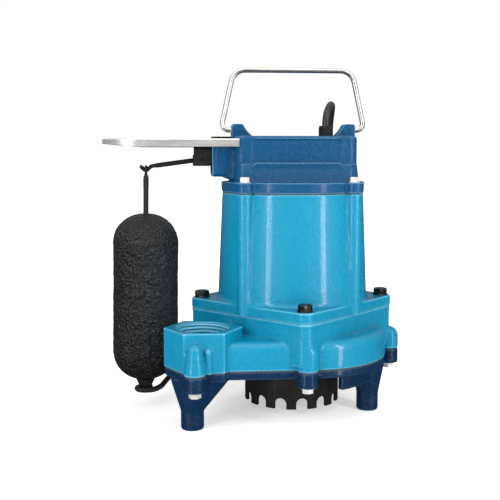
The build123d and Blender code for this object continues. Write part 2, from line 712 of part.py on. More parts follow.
def motor_shaft():
    """Stepped shaft from the impeller nut up to the sleeve bearing."""
    return joined([
        rod(IMPELLER_SHAFT_R, 50.5, HUB_TOP),
        rod(SEAL_SHAFT_R, HUB_TOP, BEARING_TOP),
        rod(SEAL_SHAFT_R + 2.0, BEARING_TOP, BEARING_TOP + 5.0),
        rod(ROTOR_SHAFT_R, BEARING_TOP + 5.0, 192.0),
        rod(JOURNAL_R, 192.0, UPPER_BRACKET_TOP - 1.0),
    ])


def rotor_core():
    """Laminated rotor pressed on the shaft."""
    return ring(ROTOR_R, ROTOR_SHAFT_R, STATOR_LOW, STATOR_TOP)


def rotor_end_rings():
    """Cast end rings of the rotor cage, each with stub fan blades."""
    rings = []
    for low, blade_low in ((STATOR_LOW - 5.0, STATOR_LOW - 9.0), (STATOR_TOP, STATOR_TOP + 5.0)):
        end_ring = ring(29.0, 19.0, low, low + 5.0)
        for index in range(8):
            end_ring += Rot(0, 0, index * 45) * block(21.0, 28.0, -1.2, 1.2, blade_low, blade_low + 4.0)
        rings.append(end_ring)
    return group(rings)


def sleeve_bearing():
    """Bronze bush for the shaft's upper journal."""
    return ring(BUSH_R, JOURNAL_R + 0.05, BUSH_LOW, UPPER_BRACKET_LOW + 3.0)


def bearing_race(outer, inner):
    """A ball race with its groove."""
    groove = Pos(0, 0, (BEARING_LOW + BEARING_TOP) / 2) * Torus(BALL_AT, GROOVE_R)
    return ring(outer, inner, BEARING_LOW, BEARING_TOP) - groove


def ball_centres():
    """Places for balls round the pitch circle."""
    middle = (BEARING_LOW + BEARING_TOP) / 2
    return [Pos(*polar(BALL_AT, index * 360 / BALL_COUNT), middle) for index in range(BALL_COUNT)]


def bearing_balls():
    """Bearing balls."""
    return group([place * Sphere(BALL_R) for place in ball_centres()])


def bearing_cage():
    """Ring with a pocket for each ball."""
    middle = (BEARING_LOW + BEARING_TOP) / 2
    body = ring(BALL_AT + 1.1, BALL_AT - 1.1, middle - 2.6, middle + 4.2)
    for place in ball_centres():
        body -= place * Sphere(BALL_R)
    return body


def seal_seat():
    """Stationary ceramic ring of the shaft seal."""
    return ring(SEAL_SEAT_R, SEAL_SHAFT_R + 0.7, BRACKET_LOW, BRACKET_LOW + 6.0)


def seal_head():
    """Rotating head of the shaft seal."""
    body = ring(12.5, SEAL_SHAFT_R, SEAL_HEAD_LOW, BRACKET_LOW - 0.3)
    return body - ring(12.5, 11.0, BRACKET_LOW - 2.3, BRACKET_LOW - 0.3)


def seal_spring():
    """Coil spring that presses the seal head up."""
    wire_r = 0.8
    coil_r = 10.4
    height = SEAL_HEAD_LOW - HUB_TOP - 2 * wire_r
    path = Pos(0, 0, HUB_TOP + wire_r) * Helix(pitch=height / 2.5, height=height, radius=coil_r)
    start = Plane(origin=path @ 0, z_dir=path % 0)
    return sweep(start * Circle(wire_r), path=path)


def impeller():
    """Closed-back impeller with swept vanes that face the suction eye."""
    body = rod(IMPELLER_R, HUB_TOP - 3.5, HUB_TOP) + rod(11.0, 58.0, HUB_TOP)
    sweep_ring = ring(32.0, 29.0, VANE_LOW, HUB_TOP - 1.0, 29.0)
    near_half = block(0.0, 2 * IMPELLER_R, 0.0, IMPELLER_R, VANE_LOW, HUB_TOP)
    vane = sweep_ring & near_half & ring(IMPELLER_R - 0.4, 9.5, VANE_LOW, HUB_TOP)
    for index in range(VANE_COUNT):
        body += Rot(0, 0, index * 360 / VANE_COUNT) * vane
    return body - rod(IMPELLER_SHAFT_R, 58.0, HUB_TOP)


def impeller_nut():
    """Nut and washer that hold the impeller up on the shaft."""
    washer = rod(8.0, 56.8, 58.0)
    return washer + hex_head(13.0, 51.0, 56.8, 0.0, 0.0) - rod(IMPELLER_SHAFT_R, 51.0, 58.0)


# ---- switch ----
def switch_housing():
    """Moulded block that carries the lever's pin in front of the cap's boss."""
    body = block(BLOCK_LEFT, BOSS_LEFT, -BLOCK_HALF_Y, BLOCK_HALF_Y, BLOCK_LOW, BLOCK_TOP)
    long_edges = body.edges().filter_by(Axis.X)
    body = chamfer(long_edges.group_by(Axis.Z)[-1], 5.0)
    body = fillet(body.edges().filter_by(Axis.X).group_by(Axis.Z)[0], 1.5)
    body += block(BOSS_LEFT - 0.5, BOSS_LEFT + 2.8, -14.8, 14.8, BOSS_CAVITY_LOW + 0.2, BOSS_CAVITY_TOP - 0.2)
    body -= block(BLOCK_LEFT + 3.0, BOSS_LEFT + 3.0, -6.0, 6.0, LEVER_SLOT_LOW, 249.0)
    body -= block(
        BLOCK_LEFT, BLOCK_LEFT + 3.0, -LEVER_SLOT_HALF_Y, LEVER_SLOT_HALF_Y, LEVER_SLOT_LOW, LEVER_SLOT_TOP,
    )
    return body - Pos(PIVOT_X, 0, PIVOT_Z) * Rot(90, 0, 0) * Cylinder(PIN_R, 2 * BLOCK_HALF_Y)


def switch_boot():
    """Rubber lip round the lever's slot."""
    middle_z = (LEVER_SLOT_LOW + LEVER_SLOT_TOP) / 2
    plane = Plane(origin=(BLOCK_LEFT, 0, middle_z), x_dir=(0, 1, 0), z_dir=(-1, 0, 0))
    body = extrude(plane * RectangleRounded(13.0, 10.6, 4.0), BOOT)
    hole = RectangleRounded(2 * LEVER_SLOT_HALF_Y, LEVER_SLOT_TOP - LEVER_SLOT_LOW, 2.0)
    return body - extrude(plane * hole, BOOT)


def lever_pin():
    """Pin across the switch block."""
    return Pos(PIVOT_X, 0, PIVOT_Z) * Rot(90, 0, 0) * Cylinder(PIN_R, 2 * BLOCK_HALF_Y - 0.2)


def switch_lever():
    """Wire lever: a sleeved outer arm with a saddle at its end and a short inner arm."""
    tip_centre = (SADDLE_X - 4.4, 0, SADDLE_Z + 2.8)
    outer = [
        (PIVOT_X - 1.0, 0, PIVOT_Z + 0.2),
        (SADDLE_X + 4.9, 0, SADDLE_Z + 3.6),
        (SADDLE_X, 0, SADDLE_Z - 1.2),
        tip_centre,
    ]
    arm = wire(outer, LEVER_R, [2.2, 2.6])
    run = Vector(*outer[1]) - Vector(*outer[0])
    sleeve = extrude(Plane(origin=outer[0], z_dir=run) * Circle(SLEEVE_R), 0.9 * run.length)
    inner_arm = block(PIVOT_X, PLUNGER_X + 2.0, -LEVER_R, LEVER_R, PIVOT_Z - LEVER_R, PIVOT_Z + LEVER_R)
    hub = Pos(PIVOT_X, 0, PIVOT_Z) * Rot(90, 0, 0) * Cylinder(LEVER_HUB_R, 8.0)
    body = joined([hub, arm, sleeve, inner_arm, Pos(*tip_centre) * Sphere(LEVER_R)])
    return body - Pos(PIVOT_X, 0, PIVOT_Z) * Rot(90, 0, 0) * Cylinder(PIN_R + 0.05, 10.0)


def micro_switch():
    """Snap switch body under the lever's inner arm."""
    body = block(PLUNGER_X - 4.0, -58.0, -7.0, 7.0, BOSS_CAVITY_LOW + 0.2, 236.5)
    return body - rod(PLUNGER_STEM_R + 0.05, 230.0, 236.5, PLUNGER_X)


def switch_plunger():
    """Button of the snap switch."""
    return rod(PLUNGER_STEM_R, 232.5, 238.5, PLUNGER_X) + rod(2.3, 238.4, PIVOT_Z - LEVER_R - 0.3, PLUNGER_X)


# ---- float ----
def leaning(shape):
    """Turn a shape about the saddle by the float's slight lean."""
    there = Pos(SADDLE_X, 0, SADDLE_Z)
    back = Pos(-SADDLE_X, 0, -SADDLE_Z)
    return there * Rot(0, FLOAT_LEAN, 0) * back * shape


def float_rod():
    """Float rod with the eye that hangs on the lever's saddle."""
    eye_r = 1.25
    eye_mid = 3.85
    eye = Pos(SADDLE_X, 0, SADDLE_Z - 0.4) * Rot(0, 90, 0) * Torus(eye_mid, eye_r)
    neck = cone(ROD_R, 1.6, 225.0, 228.4, SADDLE_X)
    stem = rod(ROD_R, 15.0, 225.0, SADDLE_X)
    tip = cone(1.8, ROD_R, 13.5, 15.0, SADDLE_X)
    return leaning(joined([eye, neck, stem, tip]))


def float_capsule(inset):
    """The float's rounded outline, drawn in by an inset."""
    body = rod(FLOAT_R - inset, FLOAT_LOW + inset, FLOAT_TOP - inset, SADDLE_X)
    return fillet(body.edges().filter_by(GeomType.CIRCLE), FLOAT_ROUND - inset)


def float_body():
    """Hollow sealed float with rounded ends and a tube for its rod."""
    tube = rod(ROD_R + FLOAT_WALL, FLOAT_LOW, FLOAT_TOP, SADDLE_X)
    air = float_capsule(FLOAT_WALL) - tube
    return leaning(float_capsule(0.0) - air - rod(ROD_R, FLOAT_LOW, FLOAT_TOP, SADDLE_X))


def float_collar():
    """Tapered collar that holds the float up on its rod."""
    body = cone(6.2, 9.5, 21.4, FLOAT_LOW, SADDLE_X)
    return leaning(body - rod(ROD_R, 21.0, FLOAT_LOW, SADDLE_X))


def rod_guide():
    """Wire guide screwed under the base, with a loop round the rod's lower end."""
    boss_x, boss_y = BASE_BOSSES[-1]
    tab_z = BASE_BOSS_LOW - GUIDE_TAB / 2
    arm_points = [
        (boss_x - 7.0, boss_y - 5.5, tab_z),
        (boss_x - 13.0, boss_y - 10.5, tab_z - 1.5),
        (-119.0, 14.0, 29.0),
        (-132.5, -GUIDE_RADIUS, GUIDE_Z),
        (GUIDE_X, -GUIDE_RADIUS, GUIDE_Z),
    ]
    arm_path = FilletPolyline(*arm_points, radius=[6.0, 30.0, 16.0])
    back = (GUIDE_X + GUIDE_RADIUS * cos(radians(40)), GUIDE_RADIUS * sin(radians(40)), GUIDE_Z)
    left = (GUIDE_X - GUIDE_RADIUS, 0.0, GUIDE_Z)
    loop_path = ThreePointArc(arm_points[-1], left, back)
    section = Plane(origin=arm_path @ 0, z_dir=arm_path % 0) * Circle(GUIDE_R)
    loop_section = Plane(origin=loop_path @ 0, z_dir=loop_path % 0) * Circle(GUIDE_R)
    arm = sweep(section, path=arm_path)
    loop = sweep(loop_section, path=loop_path)
    tab = rod(9.0, BASE_BOSS_LOW - GUIDE_TAB, BASE_BOSS_LOW, boss_x, boss_y)
    body = joined([arm, loop, tab])
    body -= rod(BASE_BOSS_R + 3.0, BASE_BOSS_LOW, BASE_BOSS_LOW + 5.0, boss_x, boss_y)
    body -= rod(7.2, BASE_BOSS_LOW - 10.0, BASE_BOSS_LOW - GUIDE_TAB, boss_x, boss_y)
    return body - rod(BASE_SCREW_R + 0.2, BASE_BOSS_LOW - GUIDE_TAB, BASE_BOSS_LOW, boss_x, boss_y)


# ---- guard and bail ----
def guard_plan(inset, end_x):
    """A tongue shape with a round nose, open to the right."""
    half = GUARD_HALF_Y - inset
    nose_x = -GUARD_REACH + GUARD_HALF_Y
    tongue = Pos((nose_x + end_x) / 2, 0) * Rectangle(end_x - nose_x, 2 * half)
    return tongue + Pos(nose_x, 0) * Circle(half)


def float_guard():
    """Pressed guard plate over the lever, with a rolled-down lip."""
    outside = extrude(Pos(0, 0, LIP_LOW) * guard_plan(0.0, LIP_END), GUARD_TOP - LIP_LOW)
    outside = fillet(outside.edges().group_by(Axis.Z)[-1].filter_by(GeomType.CIRCLE), GUARD_EDGE)
    inside = extrude(Pos(0, 0, LIP_LOW) * guard_plan(GUARD_SHEET, LIP_END), GUARD_TOP - GUARD_SHEET - LIP_LOW)
    body = outside - inside
    half_gap = GUARD_HALF_Y - GUARD_SHEET
    body -= block(GUARD_END, LIP_END + 1.0, -half_gap, half_gap, LIP_LOW, GUARD_TOP)
    ear_gap = EAR_HALF_Y + 0.5
    body -= block(-EAR_OUT - 0.1, GUARD_END + 1.0, -ear_gap, ear_gap, LIP_LOW, GUARD_TOP)
    rise = LIP_TIP_LOW - LIP_LOW
    run = GUARD_HALF_Y
    slope = degrees(atan2(rise, run))
    knee_x = -GUARD_REACH + run
    trim = Pos(knee_x, 0, LIP_LOW) * Rot(0, slope, 0) * Box(
        60.0, 90.0, 10.0, align=(Align.MAX, Align.CENTER, Align.MAX))
    body -= trim
    for y in (-GUARD_SCREW_Y, GUARD_SCREW_Y):
        body -= rod(GUARD_SCREW_R + 0.2, GUARD_TOP - GUARD_SHEET, GUARD_TOP, GUARD_SCREW_X, y)
    return body


def guard_clamp():
    """Strap that clamps the guard down on the switch boss."""
    body = block(BOSS_LEFT, -61.0, -16.0, 16.0, GUARD_TOP, GUARD_TOP + CLAMP_THICK)
    body = fillet(body.edges().filter_by(Axis.Z), 2.5)
    for y in (-GUARD_SCREW_Y, GUARD_SCREW_Y):
        body -= rod(GUARD_SCREW_R + 0.2, GUARD_TOP, GUARD_TOP + CLAMP_THICK, GUARD_SCREW_X, y)
    return body


def guard_screws():
    """Two pan-head screws through the clamp and guard."""
    screws = []
    for side in (-1, 1):
        y = side * GUARD_SCREW_Y
        head_low = GUARD_TOP + CLAMP_THICK
        shank = rod(GUARD_SCREW_R, BOSS_CAVITY_TOP + 0.2, head_low, GUARD_SCREW_X, y)
        screws.append(shank + cone(3.2, 2.6, head_low, head_low + 1.0, GUARD_SCREW_X, y))
    return group(screws)


def carry_bail():
    """Wire bail whose ends turn inwards into the cap's ears."""
    points = [
        (-BAIL_INNER_X, 0, BAIL_PIVOT_Z),
        (-BAIL_FOOT_X, 0, BAIL_PIVOT_Z),
        (-BAIL_CORNER_X, 0, BAIL_TOP_Z),
        (BAIL_CORNER_X, 0, BAIL_TOP_Z),
        (BAIL_FOOT_X, 0, BAIL_PIVOT_Z),
        (BAIL_INNER_X, 0, BAIL_PIVOT_Z),
    ]
    return wire(points, BAIL_R, [6.5, 14.0, 14.0, 6.5])


# ---- cord ----
def power_cord():
    """The cord from the gland over the cap and down behind the barrel to the coil."""
    radii = easy_radii(CORD_POINTS)
    tube = wire(CORD_POINTS, CORD_R, radii)
    print("cord bend radii", [round(radius, 1) for radius in radii])
    length = FilletPolyline(*CORD_POINTS, radius=radii).length
    print("cord run", round(length, 1), "volume ratio", round(tube.volume / (pi * CORD_R**2 * length), 4))
    return tube


def power_cord_tail():
    """The cord's last stretch, from the top of the coil into the plug."""
    radii = easy_radii(TAIL_POINTS)
    print("tail bend radii", [round(radius, 1) for radius in radii])
    return wire(TAIL_POINTS, CORD_R, radii)


def power_cord_coil():
    """Outer shape of the wound cord."""
    half = COIL_SIDE / 2
    low = COIL_LIFT
    body = ring(COIL_MEAN_R + half, COIL_MEAN_R - half, low, low + COIL_SIDE, COIL_X, COIL_Y)
    return fillet(body.edges(), 3.0)


def coil_ties():
    """Three ties round the wound cord."""
    ties = []
    slack = 0.1
    thick = 0.8
    near = COIL_MEAN_R - COIL_SIDE / 2 - 2 * slack
    far = COIL_MEAN_R + COIL_SIDE / 2 + slack
    low = COIL_LIFT - slack
    high = COIL_LIFT + COIL_SIDE + slack
    for angle in (150, 290, 30):
        outer = block(near - thick, far + thick, -2.5, 2.5, low - thick, high + thick)
        inner = block(near, far, -2.5, 2.5, low, high)
        ties.append(Pos(COIL_X, COIL_Y, 0) * Rot(0, 0, angle) * (outer - inner))
    return group(ties)


def plug_plane(distance):
    """A plane across the plug, at a distance from where the cord enters it."""
    x, y, z = TAIL_POINTS[-1]
    return Plane(origin=(x - distance, y, z), x_dir=(0, 1, 0), z_dir=(-1, 0, 0))


def plug_body():
    """Moulded plug with a tapered cord end."""
    taper = loft([plug_plane(0.0) * Circle(CORD_R + 1.0), plug_plane(PLUG_TAPER) * Circle(7.0)])
    grip = extrude(plug_plane(PLUG_TAPER) * RectangleRounded(PLUG_WIDTH, PLUG_THICK, 6.0), PLUG_LENGTH)
    return taper + fillet(grip.edges().group_by(Axis.X)[-1], 2.0)


def plug_blades():
    """Two flat blades and a round earth pin."""
    face = plug_plane(PLUG_TAPER + PLUG_LENGTH)
    blades = [extrude(face * Pos(side * 6.35, 2.5) * Rectangle(1.5, 6.4), 17.0) for side in (-1, 1)]
    earth = extrude(face * Pos(0, -5.0) * Circle(2.4), 20.0)
    return group(blades + [earth])


NODES = {
    "motor_housing": motor_housing,
    "volute_casing": volute_casing,
    "base_plate": base_plate,
    "base_gasket": base_gasket,
    "suction_strainer": suction_strainer,
    "strainer_screws": strainer_screws,
    "flange_bolts": flange_bolts,
    "cap_screws": cap_screws,
    "base_screws": base_screws,
    "flange_seal": flange_seal,
    "top_cap": top_cap,
    "cap_gasket": cap_gasket,
    "cord_gland_nut": cord_gland_nut,
    "cord_grommet": cord_grommet,
    "capacitor": capacitor,
    "capacitor_clip": capacitor_clip,
    "overload_protector": overload_protector,
    "ground_screw": ground_screw,
    "stator_core": stator_core,
    "upper_winding": lambda: winding(STATOR_TOP, STATOR_TOP + 17.0),
    "lower_winding": lambda: winding(STATOR_LOW - 17.0, STATOR_LOW),
    "upper_bearing_bracket": upper_bearing_bracket,
    "bearing_bracket": bearing_bracket,
    "motor_shaft": motor_shaft,
    "rotor_core": rotor_core,
    "rotor_end_rings": rotor_end_rings,
    "sleeve_bearing": sleeve_bearing,
    "bearing_outer_race": lambda: bearing_race(BEARING_R, 17.0),
    "bearing_inner_race": lambda: bearing_race(11.5, SEAL_SHAFT_R),
    "bearing_balls": bearing_balls,
    "bearing_cage": bearing_cage,
    "seal_seat": seal_seat,
    "seal_head": seal_head,
    "seal_spring": seal_spring,
    "impeller": impeller,
    "impeller_nut": impeller_nut,
    "switch_housing": switch_housing,
    "switch_boot": switch_boot,
    "lever_pin": lever_pin,
    "switch_lever": switch_lever,
    "micro_switch": micro_switch,
    "switch_plunger": switch_plunger,
    "float_rod": float_rod,
    "float_body": float_body,
    "float_collar": float_collar,
    "rod_guide": rod_guide,
    "float_guard": float_guard,
    "guard_clamp": guard_clamp,
    "guard_screws": guard_screws,
    "carry_bail": carry_bail,
    "power_cord": power_cord,
    "power_cord_tail": power_cord_tail,
    "power_cord_coil": power_cord_coil,
    "coil_ties": coil_ties,
    "plug_body": plug_body,
    "plug_blades": plug_blades,
}

os.makedirs("parts", exist_ok=True)
for name, build in NODES.items():
    export_step(Pos(AXIS_X, AXIS_Y, 0) * build(), os.path.join("parts", name + ".step"))
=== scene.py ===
import json
import math
import random

import bmesh
import bpy
from mathutils import Matrix, Vector, noise


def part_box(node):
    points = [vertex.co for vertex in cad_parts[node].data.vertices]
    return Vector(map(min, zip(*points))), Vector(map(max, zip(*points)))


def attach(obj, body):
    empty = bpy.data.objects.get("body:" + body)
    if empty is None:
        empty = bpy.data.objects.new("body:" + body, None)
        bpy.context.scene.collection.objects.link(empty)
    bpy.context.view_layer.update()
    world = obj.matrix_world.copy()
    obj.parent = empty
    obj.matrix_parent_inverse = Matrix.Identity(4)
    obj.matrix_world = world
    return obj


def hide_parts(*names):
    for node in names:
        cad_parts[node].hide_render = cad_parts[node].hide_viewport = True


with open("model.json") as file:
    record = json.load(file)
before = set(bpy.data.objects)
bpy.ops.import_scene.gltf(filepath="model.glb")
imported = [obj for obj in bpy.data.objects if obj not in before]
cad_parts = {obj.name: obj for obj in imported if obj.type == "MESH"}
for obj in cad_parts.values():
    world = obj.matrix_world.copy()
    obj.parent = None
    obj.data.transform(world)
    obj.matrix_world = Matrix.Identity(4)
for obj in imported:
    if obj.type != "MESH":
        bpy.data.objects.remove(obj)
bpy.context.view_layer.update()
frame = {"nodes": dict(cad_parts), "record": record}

random.seed(11)

# Points below are given in millimetres from the motor's upright axis, with z from the floor.
core_low, core_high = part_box("rotor_core")
AXIS = (core_low + core_high) / 2


def at(x, y, z):
    """The place of a point that is given from the motor's axis."""
    return Vector((AXIS.x + x / 1000, AXIS.y + y / 1000, z / 1000))


# ---- camera ----
camera = bpy.data.objects.new("camera", bpy.data.cameras.new("camera"))
bpy.context.scene.collection.objects.link(camera)
camera.location = at(-108.2, -809.9, 244.0)
camera.rotation_euler = (math.radians(83.7), 0.0, -0.082)
camera.data.lens = 60.0
camera.data.clip_start = 0.02
bpy.context.scene.camera = camera
bpy.context.scene.view_settings.view_transform = "Standard"

# ---- cord ----
CORD_R = 3.75
CORD_POINTS = (
    (32.4, 0.0, 275.0), (32.4, 0.0, 285.0), (38.6, 11.0, 296.4), (43.2, 28.5, 296.0), (43.8, 41.0, 284.0),
    (44.0, 49.5, 265.0), (45.2, 61.0, 240.5), (47.0, 72.5, 212.0), (50.0, 80.0, 182.0), (53.0, 85.0, 152.0),
    (56.0, 89.0, 122.0), (59.5, 94.0, 93.0), (63.5, 101.0, 64.0), (68.0, 111.0, 37.0), (72.5, 125.0, 15.0),
    (74.6, 143.0, 4.9), (73.8, 162.0, 4.75),
)
TAIL_POINTS = (
    (-4.0, 149.3, 19.75), (7.2, 135.3, 25.0), (25.0, 127.5, 28.4), (46.2, 129.2, 28.4), (65.3, 142.8, 28.4),
    (74.5, 161.5, 28.4), (75.0, 180.5, 28.6), (66.5, 197.0, 29.8), (51.0, 206.4, 32.1), (33.0, 206.4, 32.1),
)
COIL_CENTRE = (25.0, 166.0)
COIL_STEPS = 20
# Each row is a turn count, and the radius and height that the wound cord has reached by it.
COIL_STAGES = (
    (0.0, 48.5, 4.75), (0.8, 48.5, 4.75), (1.0, 41.0, 4.75), (1.8, 41.0, 4.75), (2.0, 33.5, 4.75),
    (2.6, 33.5, 4.75), (2.8, 33.5, 12.25), (3.4, 33.5, 12.25), (3.6, 41.0, 12.25), (4.4, 41.0, 12.25),
    (4.6, 48.5, 12.25), (5.2, 48.5, 12.25), (5.4, 48.5, 19.75), (6.0, 48.5, 19.75), (6.2, 41.0, 19.75),
    (7.0, 41.0, 19.75), (7.2, 33.5, 19.75), (7.6, 33.5, 19.75),
)


def eased(share):
    """Slow start and slow end between 0 and 1."""
    return share * share * (3 - 2 * share)


def coil_state(turn):
    """Radius and height of the wound cord at a turn count."""
    for (t0, r0, z0), (t1, r1, z1) in zip(COIL_STAGES, COIL_STAGES[1:]):
        if turn <= t1:
            share = eased((turn - t0) / (t1 - t0))
            return r0 + (r1 - r0) * share, z0 + (z1 - z0) * share
    return COIL_STAGES[-1][1:]


def coil_points():
    """The coil's turns, seen from above against the clock, from where the cord reaches the floor."""
    points = []
    stretch = 1 / (0.75 + 0.25 * math.cos(2 * math.pi / COIL_STEPS))
    first = math.atan2(CORD_POINTS[-1][1] - COIL_CENTRE[1], CORD_POINTS[-1][0] - COIL_CENTRE[0])
    for index in range(1, int(COIL_STAGES[-1][0] * COIL_STEPS)):
        turn = index / COIL_STEPS
        radius, height = coil_state(turn)
        angle = first + 2 * math.pi * turn
        x = COIL_CENTRE[0] + stretch * radius * math.cos(angle)
        y = COIL_CENTRE[1] + stretch * radius * math.sin(angle)
        points.append((x, y, height))
    return points


def nurbs(name, points, radius):
    """A round cord along one smooth line."""
    data = bpy.data.curves.new(name, "CURVE")
    data.dimensions = "3D"
    line = data.splines.new("NURBS")
    line.points.add(len(points) - 1)
    for target, point in zip(line.points, points):
        target.co = (*at(*point), 1.0)
        target.radius = radius / 1000
    line.order_u = 3
    line.use_endpoint_u = True
    line.resolution_u = 8
    data.bevel_depth = 1.0
    data.bevel_resolution = 7
    data.use_fill_caps = True
    cord = bpy.data.objects.new(name, data)
    bpy.context.scene.collection.objects.link(cord)
    return cord


mains_cord = nurbs("mains_cord", [*CORD_POINTS, *coil_points(), *TAIL_POINTS], CORD_R)
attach(mains_cord, "casing")
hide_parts("power_cord", "power_cord_coil", "power_cord_tail")


# ---- materials ----
class Shade:
    """A node material. Its patterns are fixed to the object's own coordinates, in metres."""

    def __init__(self, name, constants):
        self.material = bpy.data.materials.new(name)
        self.material.use_nodes = True
        self.tree = self.material.node_tree
        self.shader = self.tree.nodes["Principled BSDF"]
        for socket, value in constants.items():
            self.shader.inputs[socket].default_value = value
        self.place = self.tree.nodes.new("ShaderNodeTexCoord").outputs["Object"]

    def node(self, kind, links=(), values=(), **settings):
        """Add a node; links and values go to its inputs by name or number."""
        made = self.tree.nodes.new(kind)
        for key, value in settings.items():
            setattr(made, key, value)
        for key, value in dict(values).items():
            made.inputs[key].default_value = value
        for key, source in dict(links).items():
            self.tree.links.new(source, made.inputs[key])
        return made

    def stretched(self, scale):
        """The object's coordinates, scaled by axis."""
        return self.node("ShaderNodeMapping", {"Vector": self.place}, {"Scale": scale}).outputs[0]

    def noise(self, scale, detail=2.0, rough=0.5, place=None):
        """Soft random spots, with scale in spots per metre."""
        return self.node(
            "ShaderNodeTexNoise", {"Vector": place or self.place},
            {"Scale": scale, "Detail": detail, "Roughness": rough},
        ).outputs["Fac"]

    def cells(self, scale, feature="F1"):
        """Cells, as the distance to the nearest centre."""
        return self.node("ShaderNodeTexVoronoi", {"Vector": self.place}, {"Scale": scale},
                         feature=feature).outputs["Distance"]

    def ramp(self, fac, stops):
        """Colours or greys along a 0 to 1 value."""
        made = self.node("ShaderNodeValToRGB", {"Fac": fac})
        elements = made.color_ramp.elements
        while len(elements) < len(stops):
            elements.new(0.5)
        for element, (place, colour) in zip(elements, stops):
            element.position = place
            element.color = (*colour, 1.0) if isinstance(colour, tuple) else (colour, colour, colour, 1.0)
        return made.outputs["Color"]

    def mix(self, fac, first, second, blend="MIX"):
        """Blend two colours by a grey."""
        made = self.node("ShaderNodeMix", {0: fac, 6: first}, data_type="RGBA", blend_type=blend)
        if isinstance(second, tuple):
            made.inputs[7].default_value = (*second, 1.0)
        else:
            self.tree.links.new(second, made.inputs[7])
        return made.outputs[2]

    def span(self, fac, low, high, start=0.0, end=1.0):
        """Carry a value from one range to another."""
        return self.node("ShaderNodeMapRange", {0: fac}, {1: start, 2: end, 3: low, 4: high}).outputs[0]

    def edges(self):
        """How far the surface stands out here: above a half on edges, below it in corners."""
        return self.node("ShaderNodeNewGeometry").outputs["Pointiness"]

    def bumps(self, *layers):
        """Raise the surface by (height, distance in metres) layers."""
        below = None
        for height, distance in layers:
            links = {"Height": height}
            if below:
                links["Normal"] = below
            below = self.node("ShaderNodeBump", links, {"Strength": 1.0, "Distance": distance}).outputs[0]
        self.tree.links.new(below, self.shader.inputs["Normal"])
        return below

    def wire(self, **sockets):
        """Link sources to the shader's inputs."""
        for key, source in sockets.items():
            self.tree.links.new(source, self.shader.inputs[key.replace("_", " ")])
        return self.material


def cast_paint(name, base, light, dark, roughness=0.25, coat=0.45):
    """Gloss enamel over a grainy casting, with a painted highlight on its edges and painted shade in its
    corners.
    """
    s = Shade(name, {"Specular IOR Level": 0.25, "Coat Weight": coat, "Coat Roughness": 0.17,
                     "Coat IOR": 1.5})
    cloud = s.ramp(s.noise(30.0, 3.0), [(0.35, base), (0.7, tuple(0.93 * c for c in base))])
    # Painted highlight: convex edges are lightened toward the light colour.
    painted_edge_highlight = s.span(s.edges(), 0.0, 0.55, 0.515, 0.56)
    # Painted shade: corners, hollows and seams are darkened toward the dark colour.
    shaded = s.span(s.edges(), 0.75, 0.0, 0.42, 0.49)
    tint = s.mix(painted_edge_highlight, cloud, light)
    tint = s.mix(shaded, tint, dark)
    pits = s.ramp(s.noise(900.0, 1.0), [(0.24, 0.0), (0.3, 1.0)])
    tint = s.mix(s.span(pits, 0.25, 0.0), tint, dark)
    grain = s.noise(700.0, 2.0, 0.6)
    swell = s.noise(180.0, 1.0)
    s.bumps((swell, 0.0008), (grain, 0.0007))
    return s.wire(Base_Color=tint, Roughness=s.span(grain, roughness - 0.08, roughness + 0.1, 0.3, 0.7))


def moulding(name, base, roughness=0.45, grain_scale=1400.0, depth=0.00006, sheen=0.3):
    """Moulded plastic or rubber with a fine grain and faint scuffs."""
    s = Shade(name, {"Specular IOR Level": sheen})
    cloud = s.ramp(s.noise(60.0, 3.0), [(0.3, base), (0.75, tuple(1.6 * c for c in base))])
    grain = s.noise(grain_scale, 2.0)
    scuff = s.ramp(s.noise(240.0, 6.0, 0.7), [(0.62, 0.0), (0.72, 1.0)])
    tint = s.mix(s.span(scuff, 0.0, 0.25), cloud, tuple(4.0 * c + 0.01 for c in base))
    s.bumps((grain, depth))
    return s.wire(Base_Color=tint, Roughness=s.span(grain, roughness - 0.08, roughness + 0.12))


def metal(name, base, roughness=0.25, brushed=(1.0, 1.0, 1.0), stain=None, depth=0.00004, metallic=1.0):
    """Metal with fine drawn lines along an axis and a faint stain."""
    s = Shade(name, {"Metallic": metallic})
    lines = s.noise(900.0, 3.0, 0.6, s.stretched(brushed))
    cloud = s.noise(120.0, 4.0)
    stain = stain or tuple(0.7 * c for c in base)
    tint = s.ramp(cloud, [(0.35, base), (0.8, stain)])
    s.bumps((lines, depth))
    return s.wire(Base_Color=tint, Roughness=s.span(lines, roughness - 0.08, roughness + 0.14, 0.3, 0.7))


def wound(name, base):
    """Varnished winding wire."""
    s = Shade(name, {"Metallic": 0.6, "Coat Weight": 0.5})
    strands = s.node("ShaderNodeTexWave", {"Vector": s.place}, {"Scale": 260.0, "Distortion": 2.0},
                     bands_direction="Z").outputs["Fac"]
    tint = s.ramp(strands, [(0.1, tuple(0.4 * c for c in base)), (0.6, base)])
    s.bumps((strands, 0.0004))
    return s.wire(Base_Color=tint, Roughness=s.span(strands, 0.5, 0.3))


def stacked(name, base):
    """A stack of thin steel sheets."""
    s = Shade(name, {"Metallic": 0.9})
    layers = s.node("ShaderNodeTexWave", {"Vector": s.place}, {"Scale": 320.0},
                    bands_direction="Z").outputs["Fac"]
    tint = s.ramp(layers, [(0.2, tuple(0.5 * c for c in base)), (0.5, base)])
    s.bumps((layers, 0.0002))
    return s.wire(Base_Color=tint, Roughness=s.span(s.noise(300.0), 0.35, 0.55))


